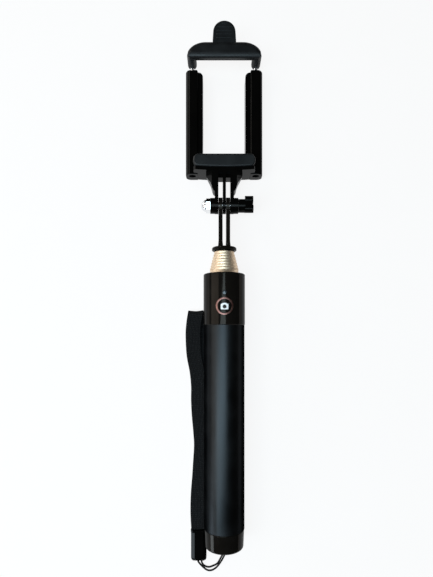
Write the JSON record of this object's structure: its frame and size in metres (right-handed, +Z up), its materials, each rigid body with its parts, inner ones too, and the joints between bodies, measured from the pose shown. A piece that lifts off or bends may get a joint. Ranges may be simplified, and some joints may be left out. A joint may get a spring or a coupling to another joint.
{
  "type": "selfie stick",
  "caption": "Telescopic selfie stick: spring-loaded phone clamp on a tilting fork, nested tube pole, soft grip handle with a shutter button, and a wrist strap.",
  "frame": {"origin": "floor point under the middle of the stick's box, without the wrist strap", "axes": "+Y along the pole from the end cap to the phone clamp, +Z up from the floor, the way the shutter button and the phone face, +X to the right with the clamp away from the viewer"},
  "size_m": [0.051, 0.3592, 0.0271],
  "materials": {
    "gloss_black": "polished black moulding",
    "soft_black": "soft-touch satin black",
    "inner_black": "plain black moulding",
    "rubber_grey": "matte charcoal rubber",
    "champagne": "polished champagne-plated stainless tube",
    "steel": "bright steel",
    "rose_gold": "rose-gold anodised ring",
    "spring_brass": "spring brass strip",
    "white_print": "white print",
    "light_lens": "clear light guide",
    "board_green": "green circuit board",
    "chip_black": "black chip",
    "cell_blue": "wrapped battery cell",
    "lead_red": "insulated wire",
    "webbing_black": "woven black webbing",
    "cord_black": "thin braided cord"
  },
  "bodies": {
    "handle": {"upper_housing": "gloss_black", "handle_tube": "inner_black", "grip_sleeve": "soft_black", "end_cap": "gloss_black", "pole_bush": "inner_black", "button_ring": "rose_gold", "led_lens": "light_lens", "led_chip": "white_print", "circuit_board": "board_green", "radio_chip": "chip_black", "snap_dome": "steel", "battery_cell": "cell_blue", "battery_leads": "lead_red", "charge_port": "steel", "tube_1": "champagne", "strap_webbing": "webbing_black", "strap_clip": "gloss_black", "strap_cord": "cord_black", "cord_knot": "cord_black"},
    "stage_2": {"tube_2": "champagne", "friction_strips_2": "spring_brass"},
    "stage_3": {"tube_3": "champagne", "friction_strips_3": "spring_brass"},
    "stage_4": {"tube_4": "champagne", "friction_strips_4": "spring_brass"},
    "stage_5": {"tube_5": "champagne", "friction_strips_5": "spring_brass"},
    "stage_6": {"tube_6": "champagne", "friction_strips_6": "spring_brass"},
    "stage_7": {"tube_7": "champagne", "friction_strips_7": "spring_brass"},
    "head": {"fork_head": "gloss_black"},
    "clamp": {"clamp_frame": "gloss_black", "lower_pad": "rubber_grey", "cap_nut": "steel", "left_spring": "steel", "right_spring": "steel"},
    "knob": {"clamp_knob": "gloss_black", "hinge_bolt": "steel"},
    "jaw": {"jaw_bar": "inner_black", "jaw_cover": "rubber_grey", "left_guide_rod": "steel", "right_guide_rod": "steel", "rod_washers": "steel"},
    "shutter": {"shutter_button": "gloss_black", "button_icon": "white_print"}
  },
  "joints": [
    {"name": "stage_2_slide", "type": "slide", "parent": "handle", "child": "stage_2", "axis": [0, 1, 0], "range_m": [0, 0.125]},
    {"name": "stage_3_slide", "type": "slide", "parent": "stage_2", "child": "stage_3", "axis": [0, 1, 0], "range_m": [0, 0.125]},
    {"name": "stage_4_slide", "type": "slide", "parent": "stage_3", "child": "stage_4", "axis": [0, 1, 0], "range_m": [0, 0.125]},
    {"name": "stage_5_slide", "type": "slide", "parent": "stage_4", "child": "stage_5", "axis": [0, 1, 0], "range_m": [0, 0.125]},
    {"name": "stage_6_slide", "type": "slide", "parent": "stage_5", "child": "stage_6", "axis": [0, 1, 0], "range_m": [0, 0.125]},
    {"name": "stage_7_slide", "type": "slide", "parent": "stage_6", "child": "stage_7", "axis": [0, 1, 0], "range_m": [0, 0.125]},
    {"name": "head_swivel", "type": "hinge", "parent": "stage_7", "child": "head", "pos_m": [0, 0.023, 0.0134], "axis": [0, 1, 0], "continuous": true},
    {"name": "clamp_tilt", "type": "hinge", "parent": "head", "child": "clamp", "pos_m": [0, 0.0524, 0.0134], "axis": [1, 0, 0], "range_deg": [-120, 140]},
    {"name": "knob_turn", "type": "hinge", "parent": "clamp", "child": "knob", "pos_m": [0, 0.0524, 0.0134], "axis": [1, 0, 0], "range_deg": [0, 360]},
    {"name": "jaw_slide", "type": "slide", "parent": "clamp", "child": "jaw", "axis": [0, 1, 0], "range_m": [0, 0.028], "stiffness_N_per_m": 250, "springref_m": -0.016, "deforming": ["left_spring", "right_spring"]},
    {"name": "shutter_press", "type": "slide", "parent": "handle", "child": "shutter", "axis": [0, 0, -1], "range_m": [0, 0.00035], "stiffness_N_per_m": 3000, "springref_m": -0.0003}
  ]
}
